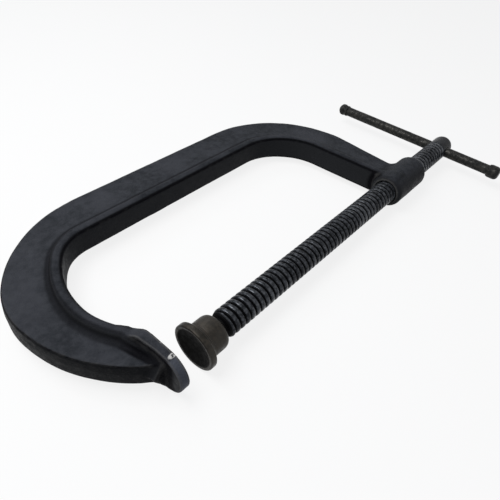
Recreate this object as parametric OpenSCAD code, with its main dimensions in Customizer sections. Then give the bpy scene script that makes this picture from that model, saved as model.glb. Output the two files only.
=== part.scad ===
// Forged C clamp: a one-piece frame, a threaded spindle with a swivel pad on its nose,
// and a cross handle that slides through the spindle's head.
//
// X runs along the spindle from the anvil to the handle, Y from the spindle to the spine,
// and Z is normal to the plane of the C. The origin is the centre of the anvil's face.

/* [Capacity] */
// Widest opening, from the anvil's face to the pad
opening_max = 210; // [150:5:320]
// Throat depth, from the spindle's axis to the spine's inner face
throat = 119; // [95:1:170]
// Gap between anvil and pad as drawn
jaw_gap = 15; // [1:1:60]

/* [Frame] */
// Depth of the spine, inner face to back
spine_depth = 38; // [24:1:60]
// Thickness of the bead that runs round the inside of the C
bead_t = 19.6; // [12:0.2:28]
// Width of that bead
bead_w = 8.5; // [5:0.5:14]
// Thickness of the flange round the outside
flange_t = 15.2; // [10:0.2:26]
// Width of that flange
flange_w = 5; // [3:0.5:9]
// Thickness of the web between bead and flange
web_t = 11; // [6:0.5:18]
// How far the anvil arm's inner face bellies out behind the anvil's face
belly_in = 13.6; // [6:0.2:24]
// How far that arm's back stands behind the anvil's face
belly_out = 48.3; // [40:0.5:70]
// Distance of the arm's inner belly below the spine's inner face
belly_in_drop = 53; // [45:1:60]
// Distance of the arm's outer belly below the spine's back
belly_out_drop = 77.5; // [70:0.5:85]
// Inner corner radii of the anvil arm: at the spine, then down the arm
near_r1 = 30; // [22:1:40]
near_r2 = 66; // [50:1:90]
// Outer corner radii of the anvil arm: at the spine, then down the arm
near_r3 = 95; // [85:1:110]
near_r4 = 60; // [50:1:70]
// Inner and outer corner radii of the screw arm
far_r_in = 46; // [30:1:56]
far_r_out = 85; // [60:1:90]

/* [Anvil] */
// Diameter of the anvil
anvil_d = 28.6; // [20:0.2:40]
// Thickness of the anvil's disc
anvil_t = 8; // [5:0.5:14]

/* [Boss] */
// Outside diameter of the threaded boss
boss_d = 28; // [24:0.5:40]
// Length of the boss
boss_len = 50; // [36:1:80]
// Room between the pad's back and the boss at full opening
boss_clear = 8; // [2:1:20]

/* [Spindle] */
// Diameter over the thread's crests
screw_d = 19; // [15:0.5:23]
// Thread pitch
pitch = 4.62; // [3:0.01:6.4]
// Thread depth
thread_depth = 1.8; // [1:0.1:2.4]
// Crest width of the thread
crest_w = 2.3; // [1:0.1:2.6]
// Length of thread beyond the boss as drawn
thread_out = 49; // [20:1:110]
// Smooth head, from the end of the thread to the tip
head_len = 22; // [18:0.5:40]
// Distance from the end of the thread to the handle's axis
bar_seat = 7.3; // [6:0.1:14]
// Rounding of the head's tip
head_round = 5; // [1:0.5:7]
// Running clearance of the spindle in the boss, on radius
screw_clear = 0.05; // [0.02:0.01:0.1]

/* [Nose] */
// Radius of the ball on the spindle's nose
ball_r = 6; // [5:0.1:7]
// How far the bottom of the neck's ring groove lies under the ball's surface
groove_drop = 0.65; // [0.5:0.05:1.2]
// Length of that groove
groove_len = 2.6; // [2.4:0.1:4]
// How far the neck behind the groove lies under the ball's surface
neck_drop = 0.2; // [0.1:0.05:0.5]
// Neck left showing between the pad and the thread
neck_len = 6; // [3:0.5:14]
// Clearance of the ball in its seat, on radius
ball_clear = 0.1; // [0.05:0.05:0.3]

/* [Pad] */
// Diameter of the pad's rim
pad_d = 31.7; // [26:0.1:44]
// Diameter of the pad's body
pad_body_d = 23.8; // [22:0.1:32]
// Length of the pad
pad_len = 20; // [19:0.5:30]
// Thickness of the rim
rim_t = 4.2; // [3:0.1:7]
// Width of the flat round the dish
rim_flat = 2.6; // [1.5:0.1:5]
// Depth of the dish in the pad's face
dish_depth = 2.6; // [1:0.1:2.8]
// Distance from the rim's face to the centre of the ball
ball_depth = 11; // [10.5:0.1:12]
// Wire thickness of the ring that holds the pad
ring_wire = 2.2; // [1.6:0.1:2.4]
// Running clearance of the ring on the neck
ring_clear = 0.05; // [0.02:0.01:0.1]
// Most the pad can tilt
pad_tilt = 6; // [2:0.5:6]

/* [Handle] */
// Diameter of the cross bar
bar_d = 9.5; // [6:0.1:11]
// Length of the handle over its caps
bar_len = 176; // [120:1:240]
// How far the handle stands out on the spine's side as drawn
bar_out = 115; // [65:1:150]
// Running clearance of the bar in the head, on radius
bar_clear = 0.1; // [0.05:0.01:0.1]
// Diameter of the caps
cap_d = 12.4; // [9:0.1:16]
// Length of the caps
cap_len = 10.5; // [7:0.5:18]
// Depth of the bar's seat in each cap
cap_seat = 8; // [4:0.5:14]

/* [Hidden] */
$fn = 72;
spine_y = throat + spine_depth;
boss_x = opening_max + pad_len + boss_clear;         // the boss's inner face
ball_x = jaw_gap + ball_depth;                       // centre of the nose's ball
groove_r = ball_r - groove_drop;
neck_r = ball_r - neck_drop;
thread_x0 = jaw_gap + pad_len + neck_len;
thread_x1 = boss_x + boss_len + thread_out;
bar_x = thread_x1 + bar_seat;
head_x = thread_x1 + head_len;
ring_x = sqrt(ball_r * ball_r - groove_r * groove_r) + groove_len / 2;   // behind the ball's centre
ring_major = groove_r + ring_clear + ring_wire / 2;
ring_out = ring_major + ring_wire / 2;
groove_end = ring_x + groove_len / 2;
lip_x = groove_end + ring_out * sin(pad_tilt) + 0.5;                     // inner face of the pad's lip
function tilted(r, x) = r / cos(pad_tilt) + x * sin(pad_tilt) + 0.25;    // bore that clears a tilted neck
cavity_r = ring_out + groove_end * sin(pad_tilt) + 0.25;

// Points along an arc from angle a to b, without its first
function arc(cx, cy, r, a, b, n = 20) =
    [for (i = [1:n]) let (t = a + (b - a) * i / n) [cx + r * cos(t), cy + r * sin(t)]];
// Radius of the arc that leaves a vertical tangent and reaches a point dx across and dy along
function reach_r(dx, dy) = (dx * dx + dy * dy) / (2 * dx);

// The C's inner or outer edge, from the boss round to the anvil. far: x at the knee and at
// the boss; near: belly x, belly y and the tip's points
function edge(y, far_r, knee_x, foot_x, r1, r2, belly_x, belly_y, tip) =
    let (s = (belly_y - y + r1) / (r1 - r2), phi = 180 - asin(s),
         cx1 = belly_x + r2 - (r1 - r2) * cos(phi),
         r3 = reach_r(tip[0][0] - belly_x, belly_y - tip[0][1]),
         a3 = asin((belly_y - tip[0][1]) / r3))
    concat(
        [[foot_x, 4], [knee_x, y - far_r]],
        arc(knee_x - far_r, y - far_r, far_r, 0, 90),
        [[cx1, y]],
        arc(cx1, y - r1, r1, 90, phi, 12),
        arc(belly_x + r2, belly_y, r2, phi, 180, 12),
        arc(belly_x + r3, belly_y, r3, 180, 180 + a3, 12),
        [for (i = [1:len(tip) - 1]) tip[i]]);

// The same edge moved sideways by d, to the left of its run
function shifted(p, d) = [for (i = [0:len(p) - 1])
    let (a = p[max(i - 1, 0)], b = p[min(i + 1, len(p) - 1)], t = b - a, l = norm(t))
    p[i] + d * [-t[1], t[0]] / l];
function backwards(p) = [for (i = [len(p) - 1:-1:0]) p[i]];

inner = edge(throat, far_r_in, boss_x + 3, boss_x + 7, near_r1, near_r2, -belly_in,
             throat - belly_in_drop, [[-3.7, (throat - belly_in_drop) / 2], [-0.6, anvil_d / 2 - 4]]);
outer = edge(spine_y, far_r_out, boss_x + 37, boss_x + 31, near_r3, near_r4, -belly_out,
             spine_y - belly_out_drop, [[-17.1, 7], [2 - anvil_t, -2]]);

module slab(a, b, t) {
    translate([0, 0, -t / 2]) linear_extrude(t) polygon(concat(a, backwards(b)));
}

// A turned shape about the X axis, from [x, radius] points
module turned(p) {
    rotate([0, 90, 0]) rotate_extrude() polygon([for (q = p) [q[1], q[0]]]);
}

module along_x(x, r, l) {
    translate([x, 0, 0]) rotate([0, 90, 0]) cylinder(r = r, h = l);
}

// The end of the anvil arm, swelling out to the rim of the disc
module anvil() {
    r = anvil_d / 2;
    along_x(-anvil_t, r, anvil_t);
    intersection() {
        slab(inner, outer, anvil_d);
        translate([-anvil_t, 0, 0])
            turned([[0, 0], [0, r], [-r, bead_t / 2], [-2.4 * r, web_t / 2], [-2.4 * r, 0]]);
    }
}

module frame() {
    color([0.17, 0.17, 0.18]) difference() {
        union() {
            slab(inner, outer, web_t);
            slab(inner, shifted(inner, -bead_w), bead_t);
            slab(outer, shifted(outer, flange_w), flange_t);
            anvil();
            along_x(boss_x, boss_d / 2, boss_len);
        }
        along_x(boss_x - 1, screw_d / 2 + screw_clear, boss_len + 2);
    }
}

module spindle() {
    r = screw_d / 2;
    root = r - thread_depth;
    flank = (pitch - crest_w) * 0.3;
    turns = floor((thread_x1 - thread_x0 - 2) / pitch);
    start = thread_x1 - 1 - turns * pitch;
    color([0.30, 0.31, 0.34]) difference() {
        union() {
            translate([ball_x, 0, 0]) sphere(r = ball_r);
            turned(concat(
                [[ball_x, 0], [ball_x, groove_r], [ball_x + groove_end, groove_r],
                 [ball_x + groove_end, neck_r], [thread_x0, neck_r], [thread_x0 + 1.5, root]],
                [for (i = [0:turns - 1], q = [[0, root], [flank, r], [flank + crest_w, r],
                    [2 * flank + crest_w, root]]) [start + i * pitch + q[0], q[1]]],
                [[thread_x1 - 1, root], [thread_x1, r]],
                [for (t = [0:15:90]) [head_x - head_round + head_round * sin(t),
                    r - head_round + head_round * cos(t)]],
                [[head_x, 0]]));
        }
        translate([bar_x, 0, 0]) rotate([90, 0, 0])
            cylinder(r = bar_d / 2 + bar_clear, h = screw_d + 2, center = true);
    }
}

module swivel_pad() {
    r = pad_d / 2;
    b = pad_body_d / 2;
    dish = r - rim_flat;
    ball = (dish * dish + dish_depth * dish_depth) / (2 * dish_depth);
    color([0.24, 0.22, 0.20]) translate([jaw_gap, 0, 0]) difference() {
        turned([[0, 0], [0, r - 0.6], [0.6, r], [rim_t, r], [rim_t + 1.8, b],
            [pad_len - 2.2, b], [pad_len - 0.6, b - 0.8], [pad_len, b - 2.2], [pad_len, 0]]);
        translate([dish_depth - ball, 0, 0]) sphere(r = ball, $fn = 144);
        translate([ball_depth, 0, 0]) sphere(r = ball_r + ball_clear);
        along_x(ball_depth, cavity_r, lip_x);
        turned([[ball_depth + lip_x - 0.01, 0], [ball_depth + lip_x - 0.01, tilted(neck_r, lip_x)],
            [pad_len + 0.01, tilted(neck_r, pad_len - ball_depth)], [pad_len + 0.01, 0]]);
    }
}

module pad_ring() {
    color([0.55, 0.55, 0.57]) translate([ball_x + ring_x, 0, 0]) rotate([0, 90, 0])
        rotate_extrude(angle = 330) translate([ring_major, 0]) circle(d = ring_wire);
}

module handle_bar() {
    seat = cap_len - cap_seat;
    color([0.36, 0.34, 0.31]) translate([bar_x, bar_out - bar_len + seat, 0])
        rotate([-90, 0, 0]) cylinder(d = bar_d, h = bar_len - 2 * seat);
}

// A cup pressed on the end of the bar; it closes towards -Z and stands on its closed end
module cap() {
    r = cap_d / 2;
    rotate_extrude() polygon([[0, 0], [r - 2, 0], [r - 0.6, 0.6], [r, 2], [r, cap_len - 0.8],
        [r - 0.6, cap_len], [bar_d / 2, cap_len], [bar_d / 2, cap_len - cap_seat], [0, cap_len - cap_seat]]);
}

module cap_spine_side() {
    color([0.36, 0.34, 0.31]) translate([bar_x, bar_out, 0]) rotate([90, 0, 0]) cap();
}

module cap_open_side() {
    color([0.36, 0.34, 0.31]) translate([bar_x, bar_out - bar_len, 0]) rotate([-90, 0, 0]) cap();
}

frame();
spindle();
swivel_pad();
pad_ring();
handle_bar();
cap_spine_side();
cap_open_side();
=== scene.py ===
# %% [markdown]
# # A drop-forged C clamp
# The measured model is loaded first and stays where it is. Everything made below is placed
# from it, in metres, so each new piece lands on the joint that moves it.
# %% Load the measured model
import math

import bmesh
import bpy
import numpy as np
from mathutils import Matrix, Vector


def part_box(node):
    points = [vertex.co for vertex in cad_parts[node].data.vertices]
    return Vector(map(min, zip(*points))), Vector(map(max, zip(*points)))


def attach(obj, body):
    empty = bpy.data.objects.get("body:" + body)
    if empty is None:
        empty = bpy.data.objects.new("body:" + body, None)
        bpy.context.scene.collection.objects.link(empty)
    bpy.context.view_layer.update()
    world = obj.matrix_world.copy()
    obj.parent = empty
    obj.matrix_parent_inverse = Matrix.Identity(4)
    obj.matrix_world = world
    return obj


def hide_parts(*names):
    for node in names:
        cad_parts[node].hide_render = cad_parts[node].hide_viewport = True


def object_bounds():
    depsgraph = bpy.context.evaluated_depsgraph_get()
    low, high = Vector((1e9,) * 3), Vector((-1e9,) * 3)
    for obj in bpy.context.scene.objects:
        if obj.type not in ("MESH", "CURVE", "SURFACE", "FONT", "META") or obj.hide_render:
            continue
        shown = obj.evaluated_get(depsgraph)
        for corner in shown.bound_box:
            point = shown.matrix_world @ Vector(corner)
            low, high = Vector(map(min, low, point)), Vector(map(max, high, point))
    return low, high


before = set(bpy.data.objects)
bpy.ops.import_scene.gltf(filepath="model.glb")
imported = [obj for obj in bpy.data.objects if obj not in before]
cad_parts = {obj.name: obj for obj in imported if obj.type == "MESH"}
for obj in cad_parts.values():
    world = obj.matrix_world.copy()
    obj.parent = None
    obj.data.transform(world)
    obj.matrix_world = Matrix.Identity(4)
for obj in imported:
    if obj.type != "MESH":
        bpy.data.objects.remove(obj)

MM = 0.001
cad_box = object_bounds()
print("nodes:", sorted(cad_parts))

# %% [markdown]
# ## Sizes read from the model
# A node's box gives its ends and its thickness. Reading them here, and not typing them,
# keeps every new piece the size of the solid that it stands for.
# %% Read the sizes, in millimetres
def box_mm(node):
    low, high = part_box(node)
    return np.array(low) / MM, np.array(high) / MM


frame_low, frame_high = box_mm("frame")
screw_low, screw_high = box_mm("spindle")
pad_low, pad_high = box_mm("swivel_pad")
bar_low, bar_high = box_mm("handle_bar")
far_cap_low, far_cap_high = box_mm("cap_spine_side")
near_cap_low, near_cap_high = box_mm("cap_open_side")

screw_r = screw_high[1]
pad_r = pad_high[1]
anvil_r = -frame_low[1]
spine_back = frame_high[1]
boss_end = frame_high[0]
bar_x = (bar_low[0] + bar_high[0]) / 2
bar_r = bar_high[2]
cap_r = far_cap_high[2]
print("screw radius", round(screw_r, 2), "pad radius", round(pad_r, 2), "bar radius", round(bar_r, 2))

# %% [markdown]
# ## Camera
# The camera comes before the shapes. It stands over the anvil end, looks down along the
# clamp and is rolled slightly.
# %% Stand the camera
def camera_axes(heading, down, roll):
    """Right, up and backward directions of a camera with these angles in degrees."""
    a, e, r = (math.radians(v) for v in (heading, down, roll))
    forward = Vector((math.cos(a) * math.cos(e), math.sin(a) * math.cos(e), -math.sin(e)))
    level = Vector((math.sin(a), -math.cos(a), 0))
    above = level.cross(forward)
    right = level * math.cos(r) + above * math.sin(r)
    return right, right.cross(forward), -forward


camera_data = bpy.data.cameras.new("camera")
camera_data.lens = 32.94
camera_data.sensor_width = 36
camera_data.clip_start = 0.01
camera = bpy.data.objects.new("camera", camera_data)
right, up, backward = camera_axes(heading=37.955, down=42.829, roll=5.42)
turn = Matrix((right, up, backward)).transposed().to_4x4()
camera.matrix_world = Matrix.Translation((-0.0878, -0.1148, 0.2216)) @ turn
bpy.context.scene.collection.objects.link(camera)
bpy.context.scene.camera = camera
print("camera lens", camera_data.lens)

# %% [markdown]
# ## Making a mesh from points
# All pieces go through one small helper: points in millimetres and faces go in, a smooth
# shaded object in metres that rides on its body comes out. Corners sharper than the given
# angle stay crisp, which is how a machined edge differs from a forged one.
# %% Helpers for new pieces
def weld(mesh, reach):
    """Joins points that lie within reach of each other, then turns every face outwards."""
    work = bmesh.new()
    work.from_mesh(mesh)
    if reach:
        bmesh.ops.remove_doubles(work, verts=work.verts, dist=reach)
    bmesh.ops.recalc_face_normals(work, faces=work.faces)
    work.to_mesh(mesh)
    work.free()


def new_piece(name, points, faces, body, slot, stands_for, crisp=40, reach=1e-7):
    mesh = bpy.data.meshes.new(name)
    mesh.from_pydata((np.asarray(points, float) * MM).tolist(), [], [tuple(map(int, f)) for f in faces])
    weld(mesh, reach)
    mesh.shade_smooth()
    mesh.set_sharp_from_angle(angle=math.radians(crisp))
    piece = bpy.data.objects.new(name, mesh)
    bpy.context.scene.collection.objects.link(piece)
    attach(piece, body)
    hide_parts(*stands_for)
    print(name, len(mesh.vertices), "points,", len(mesh.polygons), "faces")
    return piece


def ripple(points, size, seed, waves=24):
    """Gentle unevenness at each point, about -1 to 1, with bumps of this size in mm."""
    draw = np.random.default_rng(seed)
    direction = draw.normal(size=(waves, 3))
    direction /= np.linalg.norm(direction, axis=1, keepdims=True)
    direction *= (2 * np.pi / size) * draw.uniform(0.6, 1.7, size=(waves, 1))
    shift = draw.uniform(0, 2 * np.pi, waves)
    return np.sin(points @ direction.T + shift).sum(1) / waves ** 0.5 / 1.6


print("helpers:", [helper.__name__ for helper in (weld, new_piece, ripple)])

# %% [markdown]
# ## The forged frame: its two edges
# The frame is one forging. Seen flat, it is the strip between an inner and an outer edge,
# and each edge is a run of arcs with short straight pieces between them. Both runs are
# carried on past the anvil and the boss, where those two shapes cover the ends.
# %% Draw the two edges
def arc(cx, cy, r, start, end, step=1.3):
    count = max(2, int(abs(math.radians(end - start)) * r / step))
    t = np.radians(np.linspace(start, end, count + 1))
    return np.column_stack([cx + r * np.cos(t), cy + r * np.sin(t)])


throat_y = 119.0
below = -60.0
inner_edge = np.vstack([
    [[248.7, below], [245, 4]],
    arc(195, throat_y - 46, 46, 0, 90),
    arc(24.7, throat_y - 30, 30, 90, 140.3),
    arc(52.4, 66, 66, 140.3, 180),
    arc(46.35, 66, 59.95, 180, 213.4),
    [[-0.6, 10.3], [-0.6, below]],
])
outer_edge = np.vstack([
    [[263.4, below], [269, 4]],
    arc(190, spine_back - 85, 85, 0, 90),
    arc(42, spine_back - 95, 95, 90, 150),
    arc(11.7, 79.5, 60, 150, 180),
    arc(51.5, 79.5, 99.8, 180, 226.6),
    [[-6, -2], [-6, below]],
])
print("edge points:", len(inner_edge), len(outer_edge))

# %% [markdown]
# ## How far a point is from an edge
# The section of the bar hangs on two distances: how deep a point lies behind the inner
# edge and how deep behind the outer one. They are worked out once on a fine flat grid,
# and looked up from it after that.
# %% Distances to the edges
def side_distance(x, y, edge):
    """Distance of points to a run, negative for the points that the run goes round."""
    best = np.full(x.shape, np.inf)
    within = np.zeros(x.shape, bool)
    for (ax, ay), (bx, by) in zip(edge[:-1], edge[1:]):
        dx, dy = bx - ax, by - ay
        if dx == dy == 0:
            continue
        along = np.clip(((x - ax) * dx + (y - ay) * dy) / (dx * dx + dy * dy), 0, 1)
        best = np.minimum(best, (x - ax - along * dx) ** 2 + (y - ay - along * dy) ** 2)
        if ay != by:
            crosses = (ay > y) != (by > y)
            within ^= crosses & (x < ax + (y - ay) * dx / dy)
    return np.where(within, -1, 1) * np.sqrt(best)


MAP_STEP = 0.5
map_x = np.arange(-56, 296, MAP_STEP)
map_y = np.arange(-24, 166, MAP_STEP)
flat_x, flat_y = np.meshgrid(map_x, map_y, indexing="ij")
inner_map = side_distance(flat_x, flat_y, inner_edge)
outer_map = -side_distance(flat_x, flat_y, outer_edge)


def look_up(grid, x, y):
    """Value of a flat map at any points, by straight lines between its grid points."""
    gx = np.clip((x - map_x[0]) / MAP_STEP, 0, len(map_x) - 1.001)
    gy = np.clip((y - map_y[0]) / MAP_STEP, 0, len(map_y) - 1.001)
    i, j = gx.astype(int), gy.astype(int)
    fx, fy = gx - i, gy - j
    return ((grid[i, j] * (1 - fx) + grid[i + 1, j] * fx) * (1 - fy)
            + (grid[i, j + 1] * (1 - fx) + grid[i + 1, j + 1] * fx) * fy)


print("deepest metal:", round(float(np.minimum(inner_map, outer_map).max()), 1), "mm")

# %% [markdown]
# ## The forged frame: its solid
# A forging has no sharp inside corners, because the steel has to flow in the die. So the
# frame is described as a field: a value that is negative in the metal and positive in the
# air. Two such fields join with a soft minimum, which leaves a fillet where they meet, as
# a die does. Modelling the same blends with booleans and bevels would be far longer.
# %% Soft joins
def soft_min(a, b, blend):
    h = np.clip(0.5 + 0.5 * (b - a) / blend, 0, 1)
    return b + (a - b) * h - blend * h * (1 - h)


def soft_max(a, b, blend):
    return -soft_min(-a, -b, blend)


def ease(t):
    t = np.clip(t, 0, 1)
    return t * t * (3 - 2 * t)


def round_block(p, q, rounding):
    """Distance to a rounded block, from how far a point is beyond each of its two sides."""
    p, q = p + rounding, q + rounding
    return np.hypot(np.maximum(p, 0), np.maximum(q, 0)) + np.minimum(np.maximum(p, q), 0) - rounding


print("a 4 mm blend fills a corner by", round(float(-soft_min(0.0, 0.0, 4.0)), 2), "mm")

# %% [markdown]
# The bar has a bead along its inner edge, which is where a clamp's frame is stretched, and
# a thinner web behind it. Each side of the bead is a straight line in the section, and
# the bead is what lies inside all four. The web sits deeper on the anvil arm than on the
# spine, and the bead is squarer beside the boss. The outer side leans in by about six
# degrees above a flat land and by one below it: that is the draft that lets the forging
# leave the die, and the land is where the flash was trimmed off.
# %% The bar's section
WEB_TOP = 8.0
BEAD_TOP = 11.0
BEAD_SHOULDER = 10.0
BEAD_WIDTH = 7.0


def bar_field(x, y, z, u, v):
    """u is the depth behind the inner edge, v the depth behind the outer edge."""
    height = np.abs(z)
    arm = ease((112 - y) / 55) * (x < 150)
    margin = ease(1 - v / 10)
    web_height = WEB_TOP - 2.2 * arm * ease((v - 3) / 14) + 0.55 * (1 - arm) * margin
    draft = 0.10 * np.maximum(z - 1.8, 0) + 0.02 * np.maximum(-z - 4, 0)
    web = soft_max(height - web_height, draft - v, 1.7)
    web = soft_max(web, -u, 1.5)
    inner_face = 0.02 * height - u
    squarer = 1.8 * ease((x - 205) / 35) * (y < 135)
    spine_shoulder = -0.40 * (u - 1.2 + squarer) + 0.917 * (height - BEAD_SHOULDER)
    arm_shoulder = -0.50 * (u - 1.6) + 0.866 * (height - BEAD_SHOULDER + 0.1)
    shoulder = spine_shoulder * (1 - arm) + arm_shoulder * arm
    crown = height - BEAD_TOP
    foot = 0.86 * (u - BEAD_WIDTH - 0.8 * arm) + 0.51 * (height - BEAD_SHOULDER + 0.1)
    front = soft_max(inner_face, shoulder, 2.2 + arm)
    back = soft_max(crown, foot, 1.6 + 0.8 * arm)
    bead = soft_max(front, back, 1.2 + 1.2 * arm)
    bar = soft_min(web, bead, 1.6 + 0.6 * arm)
    return soft_max(bar, -2 - y, 2.0)


mid_bar = bar_field(130.0, 130.0, np.array([WEB_TOP, BEAD_TOP]), 16.0, 20.0)
print("field over the web at", WEB_TOP, "and", BEAD_TOP, "mm:", mid_bar.round(2))

# %% [markdown]
# The anvil is a thick plate across the arm's end. Its outer end is half a disc about the
# screw's line, and from there it runs inwards as a tongue that narrows and bends into the
# bead. Its rim is crisp and its face flat, because both were machined after forging, while
# its root blends softly into the arm. The boss is a thick barrel bored for the screw. Its
# rounded ends and its broad fillet to the arm are a forging's, its bore is machined, and
# the bore's mouth is opened a little so that the screw starts easily.
# %% The whole frame's field
ANVIL_T = 6.4
BOSS_R = 14.0
BOSS_LEN = 50.0
SKIN = 0.05
boss_mid = boss_end - BOSS_LEN / 2
bore_r = screw_r + 0.1


def frame_field(x, y, z, u, v):
    from_axis = np.hypot(y, z)
    bar = bar_field(x, y, z, u, v)
    narrowing = 5.6 * ease((y - 18) / 14)
    beyond = np.where(y > 0, np.abs(z), from_axis) - anvil_r + SKIN + narrowing
    along_bead = ease((y - 15) / 22)
    behind = -x * (1 - along_bead) + u * along_bead
    thick = ANVIL_T + 1.2 * ease((y - 5) / 14)
    tongue = round_block(beyond, np.abs(behind - thick / 2) - thick / 2, 0.7)
    tongue = np.where(x < 20, soft_max(tongue, y - 40, 4.0), 50)
    metal = soft_min(bar, tongue, 4.0 - 3.4 * along_bead)
    metal = np.where((x < 12) & (y < 30), soft_max(metal, x, 0.6), metal)
    past_boss = np.abs(x - boss_mid) - BOSS_LEN / 2
    metal = soft_min(metal, round_block(from_axis - BOSS_R, past_boss, 4.0), 5.0)
    mouth = bore_r + 0.5 * np.maximum(past_boss + 1.2, 0)
    return np.where(x > 200, soft_max(metal, mouth - from_axis, 0.5), metal)


print("boss ends:", round(boss_end - BOSS_LEN, 1), round(boss_end, 1), "bore radius:", round(bore_r, 2))

# %% [markdown]
# ## From field to mesh
# The surface is where the field is zero. Space is cut into small boxes, closer together at
# the anvil and the boss. Every box that the surface passes through gets one point, every
# edge that it crosses gets one face, and then each point slides onto the exact surface.
# %% Find the surface
def surface_of(xs, ys, zs, values):
    solid = values < 0
    nx, ny, nz = (len(line) - 1 for line in (xs, ys, zs))
    corners = [(i, j, k) for i in (0, 1) for j in (0, 1) for k in (0, 1)]
    cells = sum(solid[i:nx + i, j:ny + j, k:nz + k].astype(int) for i, j, k in corners)
    active = (cells > 0) & (cells < 8)
    number = np.full(active.shape, -1)
    number[active] = np.arange(active.sum())
    points = np.zeros((active.sum(), 3))
    hits = np.zeros(active.sum())
    faces = []
    for axis in range(3):
        first = np.take(values, range(values.shape[axis] - 1), axis)
        second = np.take(values, range(1, values.shape[axis]), axis)
        where = np.array(np.nonzero((first < 0) != (second < 0)))
        a, b = first[tuple(where)], second[tuple(where)]
        place = np.column_stack([xs[where[0]], ys[where[1]], zs[where[2]]])
        line = (xs, ys, zs)[axis]
        place[:, axis] += (line[where[axis] + 1] - line[where[axis]]) * a / (a - b)
        one, two = [k for k in range(3) if k != axis]
        around = []
        for back_one, back_two in ((0, 0), (1, 0), (1, 1), (0, 1)):
            cell = where.copy()
            cell[one] -= back_one
            cell[two] -= back_two
            cell_number = number[tuple(cell)]
            np.add.at(points, cell_number, place)
            np.add.at(hits, cell_number, 1)
            around.append(cell_number)
        quads = np.column_stack(around)
        flip = (a < 0) == (axis != 1)
        quads[flip] = quads[flip][:, ::-1]
        faces.append(quads)
    return points / hits[:, None], np.vstack(faces)


def value_at(points):
    x, y, z = points.T
    return frame_field(x, y, z, look_up(inner_map, x, y), look_up(outer_map, x, y))


def slope_at(points, step=0.3):
    slope = np.empty_like(points)
    for axis in range(3):
        shift = np.zeros(3)
        shift[axis] = step
        slope[:, axis] = (value_at(points + shift) - value_at(points - shift)) / (2 * step)
    return slope


xs = np.concatenate([np.arange(-51, -24, 1.0), np.arange(-24, 3, 0.62),
                     np.arange(3, 232, 1.3), np.arange(232, 292, 0.9)])
ys = np.concatenate([np.arange(-17, 20, 0.65), np.arange(20, 112, 1.1), np.arange(112, 161, 0.9)])
zs = np.arange(-16.1, 16.2, 0.76)
grid_x, grid_y = np.meshgrid(xs, ys, indexing="ij")
values = frame_field(grid_x[..., None], grid_y[..., None], zs[None, None, :],
                     look_up(inner_map, grid_x, grid_y)[..., None],
                     look_up(outer_map, grid_x, grid_y)[..., None])
forged_points, forged_faces = surface_of(xs, ys, zs, values)
for _ in range(3):
    slope = slope_at(forged_points)
    steep = np.maximum((slope ** 2).sum(1, keepdims=True), 0.2)
    forged_points -= np.clip(value_at(forged_points)[:, None] * slope / steep, -0.6, 0.6)
print("forged surface:", len(forged_points), "points,", len(forged_faces), "faces")

# %% [markdown]
# ## Wear and hollows, measured on the shape
# Paint and scale rub off where an edge stands proud, and the finish also paints a highlight
# there; a hollow lies in shade, which the finish paints darker. Both can be measured: step a
# few millimetres into the metal, and at a proud edge the surface is still close by. Step out
# from a hollow, and a wall is close. Then the surface gets the slight unevenness of a
# hammered die face, always inwards so that the frame keeps its size. The machined anvil face
# and the bore stay true.
# %% Measure, then roughen
slope = slope_at(forged_points)
normal = slope / np.linalg.norm(slope, axis=1, keepdims=True)
proud = np.clip(1 + value_at(forged_points - 2.0 * normal) / 2.0, 0, 1)
hollow = np.clip(1 - value_at(forged_points + 4.0 * normal) / 4.0, 0, 1)
machined = ease(1 + forged_points[:, 0] / 0.8) * (forged_points[:, 1] < 16) * (forged_points[:, 0] < 5)
uneven = 0.10 * (1 + ripple(forged_points, 26, seed=3)) + 0.035 * (1 + ripple(forged_points, 7, seed=4))
in_bore = (forged_points[:, 0] > 200) & (np.hypot(forged_points[:, 1], forged_points[:, 2]) < bore_r + 0.3)
uneven *= (1 - machined) * ~in_bore
forged_points -= normal * np.clip(uneven, 0, 0.4)[:, None]

forged = new_piece("forged_frame", forged_points, forged_faces, "frame", "forged_frame", ["frame"],
                   crisp=180, reach=0)
for label, numbers in (("proud", proud), ("hollow", hollow)):
    print(label, "at the 50th, 90th and 97th point in 100:", np.percentile(numbers, [50, 90, 97]).round(2))

# %% [markdown]
# The measures are stored on the mesh as attributes, one number for each point, and the
# finish reads them. Besides proud and hollow there are four more: how far the surface
# faces straight up or down, by which the finish paints light and shade, the trimmed land
# round the outer side, where shade is painted, one bright nick on the anvil's rim, and the
# anvil's lower rim, which is made paler. Painting these by hand would do as well, but a
# measured mask follows the shape when the shape changes.
# %% Store the measures on the frame
def store(piece, name, numbers):
    layer = piece.data.attributes.new(name, "FLOAT", "POINT")
    layer.data.foreach_set("value", np.asarray(numbers, np.float32))


store(forged, "proud", proud)
store(forged, "hollow", hollow)
store(forged, "flat", np.abs(normal[:, 2]))
outer_v = look_up(outer_map, forged_points[:, 0], forged_points[:, 1])
above_tip = ease((forged_points[:, 1] - 2) / 4)
# The band round the outer side, which the finish paints near black as shade.
land = ease(1.6 - outer_v / 2.5) * above_tip * (forged_points[:, 0] < 235)
store(forged, "land", land)
nick_at = np.array([-1.8, -2.6, 13.9])
nick_size = np.array([2.6, 1.3, 2.0])
store(forged, "nick", np.clip(1 - np.linalg.norm((forged_points - nick_at) / nick_size, axis=1) / 2, 0, 1))
lower_rim = ease((-3.5 - forged_points[:, 1]) / 1.5) * ease((forged_points[:, 0] + ANVIL_T + 0.6) / 0.8)
at_rim = ease((np.hypot(forged_points[:, 1], forged_points[:, 2]) - anvil_r + 0.9) / 0.5)
store(forged, "turned", lower_rim * at_rim * (forged_points[:, 0] < 5))
print("stored on the frame:", [layer.name for layer in forged.data.attributes if layer.data_type == "FLOAT"])

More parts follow.
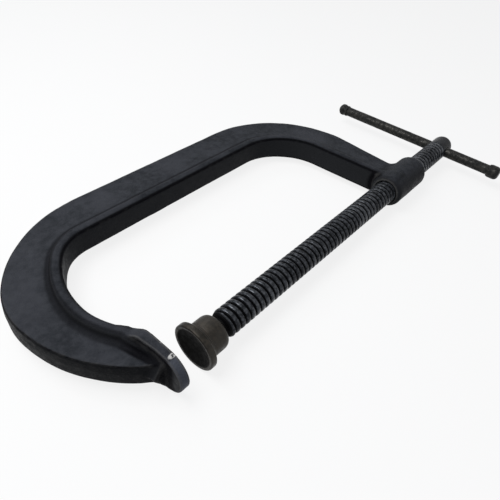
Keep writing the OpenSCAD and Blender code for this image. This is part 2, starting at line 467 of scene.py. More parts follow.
# %% [markdown]
# ## Turned pieces
# The pad, the nose of the screw and the handle's ends come off a lathe, so each is a
# profile spun about its axis. A real turned corner is never a perfect edge: it is broken
# by a small round. The helper puts a round on each corner that asks for one.
# %% Helpers for turned pieces
def broken(corners, steps=4):
    """Profile points (along, radius) from corners (along, radius, round)."""
    corners = [c if len(c) == 3 else (*c, 0) for c in corners]
    out = []
    for i, (a, r, size) in enumerate(corners):
        here = np.array([a, r], float)
        if size == 0 or i in (0, len(corners) - 1):
            out.append(here)
            continue
        before = np.array(corners[i - 1][:2]) - here
        after = np.array(corners[i + 1][:2]) - here
        start = here + before * min(1, size / np.linalg.norm(before))
        end = here + after * min(1, size / np.linalg.norm(after))
        for t in np.linspace(0, 1, steps + 1):
            out.append((1 - t) ** 2 * start + 2 * t * (1 - t) * here + t * t * end)
    return np.array(out)


def spun(profile, count=72, along="x", centre=(0, 0, 0)):
    """Points and faces of a profile spun about an axis that runs along x or y."""
    turn_by = np.arange(count) * 2 * np.pi / count
    a = np.repeat(profile[:, 0], count)
    r = np.repeat(profile[:, 1], count)
    t = np.tile(turn_by, len(profile))
    p, q = r * np.cos(t), r * np.sin(t)
    points = np.column_stack([a, p, q] if along == "x" else [q, a, p]) + np.array(centre)
    faces = []
    for i in range(len(profile) - 1):
        for j in range(count):
            k = (j + 1) % count
            faces.append((i * count + j, i * count + k, (i + 1) * count + k, (i + 1) * count + j))
    return points, faces


def joined(*shells):
    points, faces, start = [], [], 0
    for p, f in shells:
        points.append(p)
        faces += [tuple(start + k for k in face) for face in f]
        start += len(p)
    return np.vstack(points), faces


print("a broken corner has", len(broken([(0, 0), (0, 5, 1), (5, 5)])) - 2, "points")

# %% [markdown]
# ## The spindle's thread
# A thread is one groove wound along a bar. The crests here are broad and rounded and the
# groove is narrow, as on a rolled clamp screw. A plain spun grid would cut across the
# groove and leave steps, so the grid itself is slanted: each column of points starts a
# little further on than the last, and after one turn it has moved on by one pitch. All
# lines then follow the groove. The ends are cut off square by holding points at the
# limits, and over its first two millimetres the thread rises out of the turned-down neck.
# %% Wind the thread
PITCH = 4.62
THREAD_START, THREAD_END = screw_low[0] + 18.4, screw_high[0] - 22.0
GROOVE_AT, GROOVE_TURN = 46.05, 117.4 / 360
GROOVE_DEPTH = 1.85
START_CUT = 1.6
ROOT_R = screw_r - GROOVE_DEPTH
columns = 64
# Half a groove: the way along from its middle, and the height above its root.
half_groove = [(0.0, 0.0), (0.40, 0.02), (0.62, 0.42), (0.86, 1.22), (1.02, 1.58), (1.24, 1.76), (1.65, 1.84)]
section = half_groove + [(PITCH / 2, GROOVE_DEPTH)] + [(PITCH - a, h) for a, h in half_groove[:0:-1]]


def wound(start, end):
    """Points and faces of the thread between two places along the screw."""
    first = math.floor((start - GROOVE_AT) / PITCH) - 2
    last = math.ceil((end - GROOVE_AT) / PITCH) + 2
    rows = np.array([(GROOVE_AT + n * PITCH + a, h) for n in range(first, last) for a, h in section])
    along, height = rows[:, :1], rows[:, 1:]
    part = np.arange(columns)[None, :] / columns
    x = along + PITCH * (part - GROOVE_TURN)
    run_in = ease((x - start) / 2.0)
    run_out = ease((end + 1.2 - x) / 2.0)
    r = screw_r - (GROOVE_DEPTH - height) * run_in * run_out
    r = np.minimum(r, screw_r - START_CUT * ease(1 - (x - start) / 1.8))
    x = np.clip(x, start, end)
    angle = 2 * np.pi * part
    points = np.column_stack([x.ravel(), (r * np.cos(angle)).ravel(), (r * np.sin(angle)).ravel()])
    per_turn, total = len(section), len(rows)
    faces = []
    for i in range(total - 1):
        for j in range(columns):
            here, above = i * columns + j, (i + 1) * columns + j
            if j + 1 < columns:
                quad = (here, here + 1, above + 1, above)
            elif i + per_turn + 1 < total:
                quad = (here, (i + per_turn) * columns, (i + per_turn + 1) * columns, above)
            else:
                continue
            if np.ptp(x[[q // columns for q in quad], [q % columns for q in quad]]) > 1e-6:
                faces.append(quad)
    return points, faces


thread_points, thread_faces = wound(THREAD_START, THREAD_END)
print("thread:", len(thread_faces), "faces,", round((THREAD_END - THREAD_START) / PITCH, 1), "turns")

# %% [markdown]
# ## The spindle's nose and head
# Ahead of the thread the screw is turned down to a neck and a ball that the pad swivels
# on. Behind it is a plain head with a rounded tip, cross drilled for the handle. The hole
# is a real one, cut with a boolean, so that the bar shows a dark ring where it goes in.
# %% Turn the nose and the head
BALL_R = 6.0
RING_GROOVE_R = 5.35
ball_x = screw_low[0] + BALL_R


def ball_arc(radius, start, end, count):
    """Profile points on a circle about the ball's centre, by angle from its tip."""
    return [(ball_x - radius * math.cos(t), radius * math.sin(t)) for t in np.linspace(start, end, count)]


nose = broken(ball_arc(BALL_R, 0, np.pi / 2 + 0.46, 14) + [
    (ball_x + 2.9, RING_GROOVE_R), (ball_x + 5.4, RING_GROOVE_R), (ball_x + 5.9, 5.8, 0.3),
    (THREAD_START - 0.9, 5.9, 0.5), (THREAD_START, screw_r - START_CUT - 0.1, 0.4),
    (THREAD_START + 0.4, screw_r - START_CUT), (THREAD_START + 0.4, 0)])
head_end, head_r = screw_high[0], screw_r - 0.02
head = broken([(THREAD_END - 2.2, 0), (THREAD_END - 2.2, ROOT_R), (THREAD_END - 0.6, ROOT_R + 0.2),
               (THREAD_END + 0.5, head_r, 0.5), (head_end - 5.2, head_r, 1.5),
               (head_end - 1.6, screw_r - 1.6, 1.6), (head_end, screw_r - 5.4, 2.4), (head_end, 0)], steps=6)


def cross_drilled(points, faces, radius):
    """The same shell with a round hole along y through it at the handle."""
    block = bpy.data.objects.new("block", bpy.data.meshes.new("block"))
    block.data.from_pydata(points.tolist(), [], faces)
    tool = bpy.data.objects.new("tool", bpy.data.meshes.new("tool"))
    drill = broken([(-14, 0), (-14, radius + 2.4), (-9.1, radius + 0.4, 0.3), (-8.2, radius), (8.2, radius),
                    (9.1, radius + 0.4, 0.3), (14, radius + 2.4), (14, 0)])
    tool_points, tool_faces = spun(drill, 48, "y", (bar_x, 0, 0))
    tool.data.from_pydata(tool_points.tolist(), [], tool_faces)
    for shape in (block, tool):
        bpy.context.scene.collection.objects.link(shape)
        weld(shape.data, 1e-5)
    cut = block.modifiers.new("hole", "BOOLEAN")
    cut.operation, cut.object, cut.solver = "DIFFERENCE", tool, "EXACT"
    bpy.context.view_layer.update()
    done = block.evaluated_get(bpy.context.evaluated_depsgraph_get()).to_mesh()
    result = (np.array([v.co for v in done.vertices]), [tuple(f.vertices) for f in done.polygons])
    for shape in (block, tool):
        bpy.data.objects.remove(shape)
    return result


drilled_head = cross_drilled(*spun(head, 72), bar_r + 0.15)
spindle = new_piece("spindle_screw", *joined((thread_points, thread_faces), spun(nose), drilled_head),
                    "spindle", "spindle_steel", ["spindle"], crisp=38)

# %% [markdown]
# ## The swivel pad
# The pad is a stout flanged cup, dished on its face so that it bears on its rim. Its back
# is bored to let the screw's neck tilt. Inside, the bore opens into a wider room for the
# wire ring, and ends in a round socket a little larger than the ball. The turning tool has
# left fine steps behind the flange, and they are cut in the profile because they catch the
# light.
# %% Turn the pad
face_x, back_x = pad_low[0], pad_high[0]
body_r, mouth_r, ring_room_r = 11.9, 7.1, 9.2
SOCKET_GAP = 0.3
dish_r, dish_depth = pad_r - 2.4, 2.6
dish = [(face_x + dish_depth * (1 - (r / dish_r) ** 2), r) for r in np.linspace(0, dish_r - 0.2, 12)]
pad_profile = broken(dish + [
    (face_x + 0.15, dish_r + 0.25, 0.3), (face_x, pad_r - 1.0, 0.5), (face_x + 0.35, pad_r - 0.1, 0.5),
    (face_x + 4.1, pad_r - 0.05, 0.6), (face_x + 4.7, pad_r - 1.3, 0.5), (face_x + 5.6, body_r + 0.55, 0.5),
    (face_x + 6.6, body_r + 0.3, 0.2), (face_x + 6.8, body_r, 0.2), (face_x + 7.9, body_r, 0.2),
    (face_x + 8.05, body_r - 0.22, 0.1), (face_x + 8.3, body_r - 0.05, 0.1),
    (back_x - 3.4, body_r - 0.05, 1.4), (back_x - 1.2, body_r - 1.0, 1.1),
    (back_x, body_r - 3.0, 1.2), (back_x, mouth_r + 0.4, 0.4), (back_x - 0.5, mouth_r, 0.3),
    (back_x - 2.2, mouth_r), (back_x - 2.2, ring_room_r),
    (ball_x + 0.6, ring_room_r)] + ball_arc(BALL_R + SOCKET_GAP, np.pi / 2, 0, 12))
swivel_pad = new_piece("swivel_pad_turned", *spun(pad_profile, 96),
                       "pad", "pad_steel", ["swivel_pad"], crisp=32)

# %% [markdown]
# ## The handle
# The bar is a plain rod that has been knocked about, so it is not quite true, and it
# carries small flats and dents. Each end has a pressed-on stop: one is a low drum with a
# broken edge, the other a rounder button with a collar behind it.
# %% Make the bar and its ends
rod_ys = np.arange(bar_low[1], bar_high[1] + 0.01, 1.5)
rod_side = np.column_stack([rod_ys, np.full(len(rod_ys), bar_r)])
rod = np.vstack([[[rod_ys[0], 0]], rod_side, [[rod_ys[-1], 0]]])
bar_line = np.array([bar_x, 0, 0])
rod_points, rod_faces = spun(rod, 48, "y", bar_line)
outward = rod_points - bar_line
outward[:, 1] = 0
dents = 0.05 * (1 + ripple(rod_points, 14, seed=8)) + 0.035 * (1 + ripple(rod_points, 4.5, seed=9))
rod_points -= outward / bar_r * np.clip(dents, 0, 0.25)[:, None]
cross_bar = new_piece("cross_bar", rod_points, rod_faces, "handle", "handle_steel", ["handle_bar"], crisp=50)

inner_y, outer_y = near_cap_high[1], near_cap_low[1]
drum = broken([(outer_y, 0), (outer_y, cap_r - 2.4, 0.8), (outer_y + 0.9, cap_r - 0.9, 0.8),
               (outer_y + 2.6, cap_r - 0.05, 1.4), (inner_y - 1.6, cap_r - 0.1, 1.2),
               (inner_y - 0.3, cap_r - 0.75, 0.5), (inner_y, bar_r + 0.1, 0.3),
               (inner_y - 0.4, bar_r - 0.25), (inner_y - 0.8, 0)], steps=5)
near_end = new_piece("handle_end_drum", *spun(drum, 64, "y", bar_line),
                     "handle", "handle_steel", ["cap_open_side"], crisp=50)

inner_y, outer_y = far_cap_low[1], far_cap_high[1]
button = broken([(outer_y, 0), (outer_y - 0.15, 2.2, 1.0), (outer_y - 1.5, cap_r - 1.7, 1.8),
                 (outer_y - 4.2, cap_r - 0.02, 2.2), (outer_y - 6.6, cap_r - 0.9, 1.4),
                 (outer_y - 7.6, cap_r - 1.25, 0.6), (outer_y - 8.5, cap_r - 0.8, 0.7),
                 (inner_y + 0.5, cap_r - 0.9, 0.6), (inner_y, bar_r + 0.1, 0.3),
                 (inner_y + 0.4, bar_r - 0.25), (inner_y + 0.8, 0)], steps=5)
far_end = new_piece("handle_end_button", *spun(button, 64, "y", bar_line),
                    "handle", "handle_steel", ["cap_spine_side"], crisp=50)

# %% [markdown]
# ## Finishes: shared effects
# Four effects are node groups, each made once. Patchy scale and fine grain are on every
# metal here, the frame's finish uses rubbed edges twice with different limits, and lathe
# lines could go on any turned piece. A group puts out only a mask or a height, and each
# material decides what to do with it.
# %% Helpers for shader nodes
def add(tree, kind, settings=None, **values):
    item = tree.nodes.new(kind)
    for key, value in (settings or {}).items():
        setattr(item, key, value)
    for key, value in values.items():
        item.inputs[key.replace("_", " ")].default_value = value
    return item


def effect(name, inputs, outputs):
    """A new shader group with these numbers in, by name and default, and these numbers out."""
    tree = bpy.data.node_groups.new(name, "ShaderNodeTree")
    for label, default in inputs:
        socket = tree.interface.new_socket(label, in_out="INPUT", socket_type="NodeSocketFloat")
        socket.default_value = default
    for label in outputs:
        tree.interface.new_socket(label, in_out="OUTPUT", socket_type="NodeSocketFloat")
    return tree, tree.nodes.new("NodeGroupInput"), tree.nodes.new("NodeGroupOutput")


def place(tree, group, **values):
    item = tree.nodes.new("ShaderNodeGroup")
    item.node_tree = group
    for key, value in values.items():
        item.inputs[key.replace("_", " ")].default_value = value
    return item


def calc(tree, operation, a, b=None, clamp=False):
    item = tree.nodes.new("ShaderNodeMath")
    item.operation, item.use_clamp = operation, clamp
    for slot, value in enumerate((a, b)):
        if value is None:
            continue
        if isinstance(value, (int, float)):
            item.inputs[slot].default_value = value
        else:
            tree.links.new(value, item.inputs[slot])
    return item.outputs[0]


def spread(tree, value, low, high, to_low=0.0, to_high=1.0):
    item = tree.nodes.new("ShaderNodeMapRange")
    item.interpolation_type = "SMOOTHSTEP"
    for key, number in (("From Min", low), ("From Max", high), ("To Min", to_low), ("To Max", to_high)):
        item.inputs[key].default_value = number
    tree.links.new(value, item.inputs["Value"])
    return item.outputs[0]


def blend_colour(tree, mask, a, b):
    item = tree.nodes.new("ShaderNodeMix")
    item.data_type = "RGBA"
    tree.links.new(mask, item.inputs["Factor"])
    for slot, value in ((6, a), (7, b)):
        if isinstance(value, tuple):
            item.inputs[slot].default_value = (*value, 1)
        else:
            tree.links.new(value, item.inputs[slot])
    return item.outputs[2]


print("shader helpers:", [helper.__name__ for helper in (add, effect, place, calc, spread, blend_colour)])

# %% [markdown]
# ### Patchy scale
# Forge scale and thin paint never cover evenly. Broad clouds carry smaller blotches, and
# both come from noise in the piece's own coordinates, so they stay put as it moves.
# %% Build the patchy scale
patchy, given, result = effect("patchy scale", [("Cloud Size", 60.0), ("Blotch Size", 300.0)],
                               ["Clouds", "Blotches"])
where_at = patchy.nodes.new("ShaderNodeTexCoord")
for size, cover, detail in (("Cloud Size", "Clouds", 3.0), ("Blotch Size", "Blotches", 5.0)):
    cloud = add(patchy, "ShaderNodeTexNoise", Detail=detail, Roughness=0.6)
    patchy.links.new(where_at.outputs["Object"], cloud.inputs["Vector"])
    patchy.links.new(given.outputs[size], cloud.inputs["Scale"])
    patchy.links.new(spread(patchy, cloud.outputs[0], 0.36, 0.66), result.inputs[cover])
print("patchy scale:", len(patchy.nodes), "nodes")

# %% [markdown]
# ### Fine grain
# Close up, a forging is covered in tiny pits with a softer roll beneath them. The group
# puts out a height for a Bump node.
# %% Build the fine grain
grainy, given, result = effect("fine grain", [("Pit Size", 1400.0), ("Roll Size", 260.0), ("Roll", 0.5)],
                               ["Height"])
where_at = grainy.nodes.new("ShaderNodeTexCoord")
pits = add(grainy, "ShaderNodeTexNoise", Detail=3.0, Roughness=0.62)
roll = add(grainy, "ShaderNodeTexNoise", Detail=2.0, Roughness=0.5)
for item, label in ((pits, "Pit Size"), (roll, "Roll Size")):
    grainy.links.new(where_at.outputs["Object"], item.inputs["Vector"])
    grainy.links.new(given.outputs[label], item.inputs["Scale"])
sharp_pits = spread(grainy, pits.outputs[0], 0.30, 0.52)
soft_roll = calc(grainy, "MULTIPLY", roll.outputs[0], given.outputs["Roll"])
grainy.links.new(calc(grainy, "ADD", sharp_pits, soft_roll), result.inputs["Height"])
print("fine grain:", len(grainy.nodes), "nodes")

# %% [markdown]
# ### Rubbed edges
# Handling rubs the finish off where an edge stands proud, but in broken patches and not
# in an even line. The measured proudness is therefore broken up with noise.
# %% Build the rubbed edges
rubbed, given, result = effect("rubbed edges", [("Proud", 0.0), ("Start", 0.2), ("Full", 0.5),
                                                ("Breakup", 0.3), ("Patch Size", 240.0)], ["Mask"])
where_at = rubbed.nodes.new("ShaderNodeTexCoord")
patches = add(rubbed, "ShaderNodeTexNoise", Detail=4.0, Roughness=0.65)
rubbed.links.new(where_at.outputs["Object"], patches.inputs["Vector"])
rubbed.links.new(given.outputs["Patch Size"], patches.inputs["Scale"])
offset = calc(rubbed, "MULTIPLY", calc(rubbed, "SUBTRACT", patches.outputs[0], 0.5), given.outputs["Breakup"])
level = calc(rubbed, "ADD", given.outputs["Proud"], offset)
span = calc(rubbed, "SUBTRACT", given.outputs["Full"], given.outputs["Start"])
mask = calc(rubbed, "DIVIDE", calc(rubbed, "SUBTRACT", level, given.outputs["Start"]), span, clamp=True)
rubbed.links.new(mask, result.inputs["Mask"])
print("rubbed edges:", len(rubbed.nodes), "nodes")

# %% [markdown]
# ### Lathe lines
# A turned surface keeps the fine track of the tool as rings about its axis. The rings are
# noise stretched so far round the axis that only its change along the axis is left.
# %% Build the lathe lines
lathed, given, result = effect("lathe lines", [("Lines", 1800.0), ("Runout", 20.0)], ["Height"])
where_at = lathed.nodes.new("ShaderNodeTexCoord")
apart = lathed.nodes.new("ShaderNodeSeparateXYZ")
together = lathed.nodes.new("ShaderNodeCombineXYZ")
lathed.links.new(where_at.outputs["Object"], apart.inputs[0])
lathed.links.new(calc(lathed, "MULTIPLY", apart.outputs[0], given.outputs["Lines"]), together.inputs[0])
for axis in (1, 2):
    runout = calc(lathed, "MULTIPLY", apart.outputs[axis], given.outputs["Runout"])
    lathed.links.new(runout, together.inputs[axis])
rings = add(lathed, "ShaderNodeTexNoise", Scale=1.0, Detail=2.0, Roughness=0.55)
lathed.links.new(together.outputs[0], rings.inputs["Vector"])
lathed.links.new(rings.outputs[0], result.inputs["Height"])
print("lathe lines:", len(lathed.nodes), "nodes")


# %% [markdown]
# ## Finishes: the materials
# Each material starts the same way, with one Principled shader. A helper makes that start,
# and three more read a measure, read the distance from the screw's axis and chain bumps.
# %% Helpers for the materials
def start_finish(name, specular, **values):
    material = bpy.data.materials.new(name)
    material.use_nodes = True
    tree = material.node_tree
    shader = tree.nodes["Principled BSDF"]
    shader.inputs["Specular IOR Level"].default_value = specular
    for key, value in values.items():
        shader.inputs[key.replace("_", " ")].default_value = value
    return material, tree, shader


def bump_from(tree, shader, *heights):
    """Chains one Bump node for each (height, strength, depth in metres) into the shader."""
    normal = None
    for height, strength, depth in heights:
        bump = tree.nodes.new("ShaderNodeBump")
        bump.inputs["Strength"].default_value = strength
        bump.inputs["Distance"].default_value = depth
        tree.links.new(height, bump.inputs["Height"])
        if normal is not None:
            tree.links.new(normal, bump.inputs["Normal"])
        normal = bump.outputs[0]
    tree.links.new(normal, shader.inputs["Normal"])


def measured(tree, name):
    item = tree.nodes.new("ShaderNodeAttribute")
    item.attribute_name = name
    return item.outputs["Fac"]


def along_and_out(tree):
    """A point's place along the screw's axis and its distance from that axis, in metres."""
    where_at = tree.nodes.new("ShaderNodeTexCoord")
    apart = tree.nodes.new("ShaderNodeSeparateXYZ")
    tree.links.new(where_at.outputs["Object"], apart.inputs[0])
    squares = [calc(tree, "MULTIPLY", apart.outputs[axis], apart.outputs[axis]) for axis in (1, 2)]
    return apart.outputs[0], calc(tree, "SQRT", calc(tree, "ADD", *squares))


print("pieces to finish:", [p.name for p in (forged, spindle, swivel_pad, cross_bar, near_end, far_end)])

# %% [markdown]
# ### Forged black
# The frame carries a thin satin black over forge scale. Its slate grey is painted lighter on
# faces that look up and darker on steep faces, as light and shade, and near black in the
# hollows beside the bead and on the trimmed land, as painted shade. It is rubbed to a dull
# grey on the edges, and the same mask paints a highlight along the bead's crest. The anvil's
# lower rim is a paler blue grey, and steel shows bright in a few chips and in one nick. Each
# of these is a layer over the last, held by its own mask, which is easier to change later
# than one mixed picture would be.
# %% Mix the forged black
forged_black, tree, shader = start_finish("forged_black", specular=0.03)
scale = place(tree, patchy, Cloud_Size=28.0, Blotch_Size=210.0)
grain = place(tree, grainy, Pit_Size=900.0, Roll_Size=240.0, Roll=0.8)
edge = place(tree, rubbed, Start=0.22, Full=0.55, Breakup=0.34, Patch_Size=170.0)
chip = place(tree, rubbed, Start=0.68, Full=0.74, Breakup=0.75, Patch_Size=420.0)
for item in (edge, chip):
    tree.links.new(measured(tree, "proud"), item.inputs["Proud"])
hollow_shade_mask = spread(tree, measured(tree, "hollow"), -0.04, 0.24)
painted_facing_light = spread(tree, measured(tree, "flat"), 0.50, 1.0)
ragged = spread(tree, scale.outputs["Blotches"], 0.05, 0.35)
nick = calc(tree, "MULTIPLY", spread(tree, measured(tree, "nick"), 0.35, 0.60), ragged)
outer_side_shade_mask = calc(tree, "MULTIPLY", measured(tree, "land"), spread(tree, measured(tree, "flat"), 0.75, 0.35))
half_blotches = calc(tree, "MULTIPLY", scale.outputs["Blotches"], 0.5)
slate = blend_colour(tree, scale.outputs["Clouds"], (0.018, 0.020, 0.024), (0.036, 0.038, 0.045))
slate = blend_colour(tree, half_blotches, slate, (0.052, 0.055, 0.063))
# Steep faces are painted darker than faces that look up: painted light and shade by facing.
slate = blend_colour(tree, painted_facing_light, (0.020, 0.021, 0.023), slate)
# The hollows beside the bead are painted near black: painted shade.
slate = blend_colour(tree, calc(tree, "MULTIPLY", hollow_shade_mask, 0.98), slate, (0.002, 0.002, 0.003))
# The anvil's lower rim is made a paler blue grey.
slate = blend_colour(tree, measured(tree, "turned"), slate, (0.072, 0.078, 0.094))
# Rubbed edges are dull grey wear, and the same mask paints a highlight along the bead's crest.
slate = blend_colour(tree, calc(tree, "MULTIPLY", edge.outputs[0], 0.6), slate, (0.095, 0.093, 0.090))
# The steep outer side round the land is painted near black: painted shade.
slate = blend_colour(tree, calc(tree, "MULTIPLY", outer_side_shade_mask, 0.9), slate, (0.0035, 0.004, 0.005))
slate = blend_colour(tree, calc(tree, "MAXIMUM", chip.outputs[0], nick), slate, (0.55, 0.54, 0.52))
tree.links.new(slate, shader.inputs["Base Color"])
satin = spread(tree, scale.outputs["Blotches"], 0.0, 1.0, 0.40, 0.52)
roughness = calc(tree, "ADD", satin, calc(tree, "MULTIPLY", hollow_shade_mask, 0.2))
tree.links.new(roughness, shader.inputs["Roughness"])
tree.links.new(calc(tree, "MULTIPLY", chip.outputs[0], 0.8), shader.inputs["Metallic"])
bump_from(tree, shader, (grain.outputs["Height"], 0.5, 0.0003))
print("forged_black:", len(tree.nodes), "nodes")

# %% [markdown]
# ### Oiled thread steel
# The screw is blackened and oiled. Its crests are burnished where they run in the boss, in
# streaks, and the streaks are made light enough to stand in for the crests' highlights, so
# they are partly wear and partly painted highlight. The groove is painted near black as
# shade, so the colour follows the distance from the axis. The plain head never enters the
# boss and keeps its black.
# %% Mix the thread steel
thread_steel, tree, shader = start_finish("oiled_thread_steel", specular=0.06)
along, out = along_and_out(tree)
crest = spread(tree, out, (screw_r - 1.3) * MM, (screw_r - 0.15) * MM)
on_thread = spread(tree, along, (THREAD_END + 1.5) * MM, (THREAD_END - 1.0) * MM, 0.08, 1.0)
scale = place(tree, patchy, Cloud_Size=45.0, Blotch_Size=420.0)
grain = place(tree, grainy, Pit_Size=1900.0, Roll_Size=500.0, Roll=0.6)
steel = blend_colour(tree, scale.outputs["Clouds"], (0.008, 0.009, 0.011), (0.019, 0.021, 0.024))
# Burnished streaks on the crests, made light enough to stand in for their highlights: wear and painted
# highlight.
burnish_and_highlight_streaks = calc(tree, "MULTIPLY", on_thread, calc(tree, "MULTIPLY", scale.outputs["Blotches"], 0.34))
steel = blend_colour(tree, burnish_and_highlight_streaks, steel, (0.17, 0.18, 0.20))
# The groove, away from the crests, is painted near black: painted shade.
steel = blend_colour(tree, crest, (0.001, 0.001, 0.0015), steel)
tree.links.new(steel, shader.inputs["Base Color"])
tree.links.new(spread(tree, crest, 0.0, 1.0, 0.70, 0.22), shader.inputs["Roughness"])
burnish = calc(tree, "MULTIPLY", on_thread, spread(tree, scale.outputs["Clouds"], 0.2, 0.8, 0.10, 0.85))
tree.links.new(calc(tree, "MULTIPLY", crest, burnish), shader.inputs["Metallic"])
bump_from(tree, shader, (grain.outputs["Height"], 0.25, 0.0001))
print("oiled_thread_steel:", len(tree.nodes), "nodes")

# %% [markdown]
# ### Pad steel
# The pad has no black on it, only a brown-grey oxide over turned steel. The dish in its face
# is painted near black as shade, and is made rough and dull. The dish is found by two
# distances: it lies inside the rim, and close to the face.
# %% Mix the pad steel
pad_steel, tree, shader = start_finish("pad_steel", specular=0.08)
scale = place(tree, patchy, Cloud_Size=70.0, Blotch_Size=380.0)
lines = place(tree, lathed, Lines=2600.0, Runout=30.0)
grain = place(tree, grainy, Pit_Size=1500.0, Roll_Size=420.0, Roll=0.6)
oxide = blend_colour(tree, scale.outputs["Clouds"], (0.018, 0.017, 0.015), (0.040, 0.037, 0.033))
brown = calc(tree, "MULTIPLY", scale.outputs["Blotches"], 0.4)
oxide = blend_colour(tree, brown, oxide, (0.065, 0.055, 0.044))
oxide = blend_colour(tree, calc(tree, "MULTIPLY", lines.outputs[0], 0.3), oxide, (0.012, 0.011, 0.010))
along, out = along_and_out(tree)
in_dish = calc(tree, "MULTIPLY", spread(tree, out, (dish_r + 0.6) * MM, (dish_r - 0.8) * MM),
               spread(tree, along, (face_x + 5.0) * MM, (face_x + 4.0) * MM))
# The dish is painted near black: painted shade.
oxide = blend_colour(tree, calc(tree, "MULTIPLY", in_dish, 0.96), oxide, (0.0015, 0.0016, 0.0016))
tree.links.new(oxide, shader.inputs["Base Color"])
rough = spread(tree, scale.outputs["Blotches"], 0.0, 1.0, 0.34, 0.5)
tree.links.new(calc(tree, "ADD", rough, calc(tree, "MULTIPLY", in_dish, 0.35)), shader.inputs["Roughness"])
bare = spread(tree, scale.outputs["Clouds"], 0.0, 1.0, 0.75, 0.55)
tree.links.new(calc(tree, "MULTIPLY", bare, spread(tree, in_dish, 1.0, 0.0)), shader.inputs["Metallic"])
bump_from(tree, shader, (lines.outputs[0], 0.35, 0.0001), (grain.outputs["Height"], 0.2, 0.0001))
print("pad_steel:", len(tree.nodes), "nodes")

# %% [markdown]
# ### Handle steel
# The handle is the part that hands and hammers touch. Its scale has worn through in
# streaks to grey and brown metal.
# %% Mix the handle steel
handle_steel, tree, shader = start_finish("handle_steel", specular=0.08)
scale = place(tree, patchy, Cloud_Size=110.0, Blotch_Size=330.0)
grain = place(tree, grainy, Pit_Size=1300.0, Roll_Size=420.0, Roll=0.9)
worn = blend_colour(tree, scale.outputs["Clouds"], (0.010, 0.011, 0.011), (0.022, 0.022, 0.021))
worn = blend_colour(tree, calc(tree, "MULTIPLY", scale.outputs["Blotches"], 0.6), worn, (0.050, 0.048, 0.044))
tree.links.new(worn, shader.inputs["Base Color"])
tree.links.new(spread(tree, scale.outputs["Blotches"], 0.0, 1.0, 0.55, 0.36), shader.inputs["Roughness"])
tree.links.new(spread(tree, scale.outputs["Blotches"], 0.0, 1.0, 0.0, 0.6), shader.inputs["Metallic"])
bump_from(tree, shader, (grain.outputs["Height"], 0.4, 0.00018))
print("handle_steel:", len(tree.nodes), "nodes")

# %% [markdown]
# ### Ring wire
# The wire ring that holds the pad on the ball is drawn spring steel. It sits inside the
# pad, and its solid is already right, so it only gets a finish.
# %% Mix the ring wire and hand out the finishes
ring_wire, tree, shader = start_finish("ring_wire", specular=0.5)
scale = place(tree, patchy, Cloud_Size=220.0, Blotch_Size=900.0)
grain = place(tree, grainy, Pit_Size=2500.0, Roll_Size=900.0, Roll=0.5)
drawn = blend_colour(tree, scale.outputs["Blotches"], (0.20, 0.20, 0.21), (0.34, 0.34, 0.35))
tree.links.new(drawn, shader.inputs["Base Color"])
tree.links.new(spread(tree, scale.outputs["Clouds"], 0.0, 1.0, 0.28, 0.42), shader.inputs["Roughness"])
tree.links.new(spread(tree, scale.outputs["Clouds"], 0.0, 1.0, 0.95, 0.85), shader.inputs["Metallic"])
bump_from(tree, shader, (grain.outputs["Height"], 0.2, 0.00005))

for piece, finish in ((forged, forged_black), (spindle, thread_steel), (swivel_pad, pad_steel),
                      (cross_bar, handle_steel), (near_end, handle_steel), (far_end, handle_steel)):
    piece.data.materials.append(finish)
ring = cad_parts["pad_ring"]
if ring.material_slots:
    for holder in ring.material_slots:
        holder.material = ring_wire
else:
    ring.data.materials.append(ring_wire)
print("finishes:", [m.name for m in bpy.data.materials])

# %% [markdown]
# ## Floor
# The clamp lies on a plain white floor. Paper lit by lamps alone would turn grey away from
# them, so the floor also glows white. Only the eye and mirror-like reflections see the
# glow, and enough plain paper is left in the mix to hold a pale shadow.
# %% Lay the floor
FLOOR_HALF = 6.0
GLOW_SHARE = 0.84
floor_mesh = bpy.data.meshes.new("floor")
floor_z = cad_box[0][2] - 0.0002
around = ((-1, -1), (1, -1), (1, 1), (-1, 1))
floor_mesh.from_pydata([(FLOOR_HALF * i, FLOOR_HALF * j, floor_z) for i, j in around], [], [(0, 1, 2, 3)])
floor = bpy.data.objects.new("floor", floor_mesh)
bpy.context.scene.collection.objects.link(floor)


def seen_directly(tree):
    """1 for the camera, reflections and light through glass, 0 for light that lights things."""
    path = tree.nodes.new("ShaderNodeLightPath")
    either = calc(tree, "MAXIMUM", path.outputs["Is Camera Ray"], path.outputs["Is Glossy Ray"])
    return calc(tree, "MAXIMUM", either, path.outputs["Is Transmission Ray"])


floor_white = bpy.data.materials.new("floor_white")
floor_white.use_nodes = True
tree = floor_white.node_tree
tree.nodes.clear()
paper = add(tree, "ShaderNodeBsdfDiffuse", Color=(0.86, 0.86, 0.86, 1))
glow = add(tree, "ShaderNodeEmission", Color=(1, 1, 1, 1), Strength=1.0)
either = tree.nodes.new("ShaderNodeMixShader")
tree.links.new(calc(tree, "MULTIPLY", seen_directly(tree), GLOW_SHARE), either.inputs[0])
tree.links.new(paper.outputs[0], either.inputs[1])
tree.links.new(glow.outputs[0], either.inputs[2])
surface = tree.nodes.new("ShaderNodeOutputMaterial")
tree.links.new(either.outputs[0], surface.inputs[0])
floor.data.materials.append(floor_white)
print("floor at", round(floor_z / MM, 2), "mm")

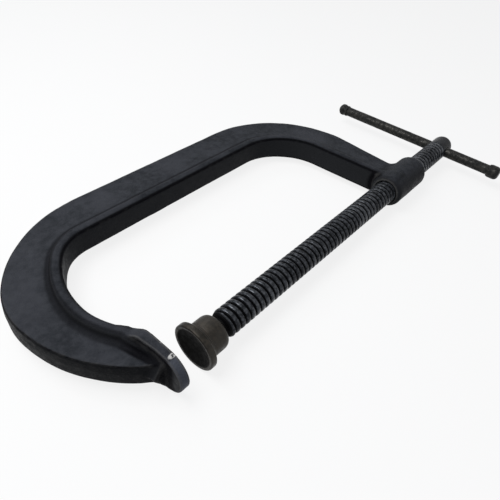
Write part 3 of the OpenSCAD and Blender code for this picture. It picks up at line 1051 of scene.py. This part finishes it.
# %% [markdown]
# ## Light
# Black steel shows its shape by what it mirrors, so the light is two large soft boxes and
# a dim, slightly blue room. The first hangs high beside the anvil's end and gives faces
# that look up their sheen. The second, a little cooler, stands well behind the spine, so
# that faces towards the viewer stay dark. A single small lamp would be simpler, but it
# gives hard glints and a hard shadow.
# %% Set the lights
world = bpy.data.worlds.new("studio")
bpy.context.scene.world = world
world.use_nodes = True
tree = world.node_tree
tree.nodes.clear()
room = add(tree, "ShaderNodeBackground", Color=(0.86, 0.90, 1.0, 1), Strength=0.22)
white = add(tree, "ShaderNodeBackground", Color=(1, 1, 1, 1), Strength=1.0)
either = tree.nodes.new("ShaderNodeMixShader")
tree.links.new(seen_directly(tree), either.inputs[0])
tree.links.new(room.outputs[0], either.inputs[1])
tree.links.new(white.outputs[0], either.inputs[2])
sky = tree.nodes.new("ShaderNodeOutputWorld")
tree.links.new(either.outputs[0], sky.inputs[0])


def softbox(name, at, aim, width, height, watts, tint=(1, 1, 1)):
    lamp = bpy.data.lights.new(name, "AREA")
    lamp.shape, lamp.size, lamp.size_y = "RECTANGLE", width, height
    lamp.energy, lamp.color = watts, tint
    holder = bpy.data.objects.new(name, lamp)
    holder.location = at
    holder.rotation_euler = (Vector(aim) - Vector(at)).to_track_quat("-Z", "Y").to_euler()
    bpy.context.scene.collection.objects.link(holder)


softbox("overhead", at=(-0.14, 0.24, 0.68), aim=(-0.02, 0.05, 0.0), width=0.5, height=0.4, watts=4.5)
softbox("behind", at=(0.20, 0.95, 0.85), aim=(0.12, 0.06, 0.0), width=0.8, height=0.4, watts=3.2,
        tint=(0.90, 0.95, 1.0))

bpy.context.scene.view_settings.view_transform = "Standard"
print("lamps:", [(lamp.name, round(lamp.energy, 2)) for lamp in bpy.data.lights])

# %% [markdown]
# ## Finish
# The measured model's box is written down. The new pieces have to stay inside the
# measured model's box.
# %% Write down the model's box
print("model box", [[round(v / MM, 2) for v in c] for c in cad_box])
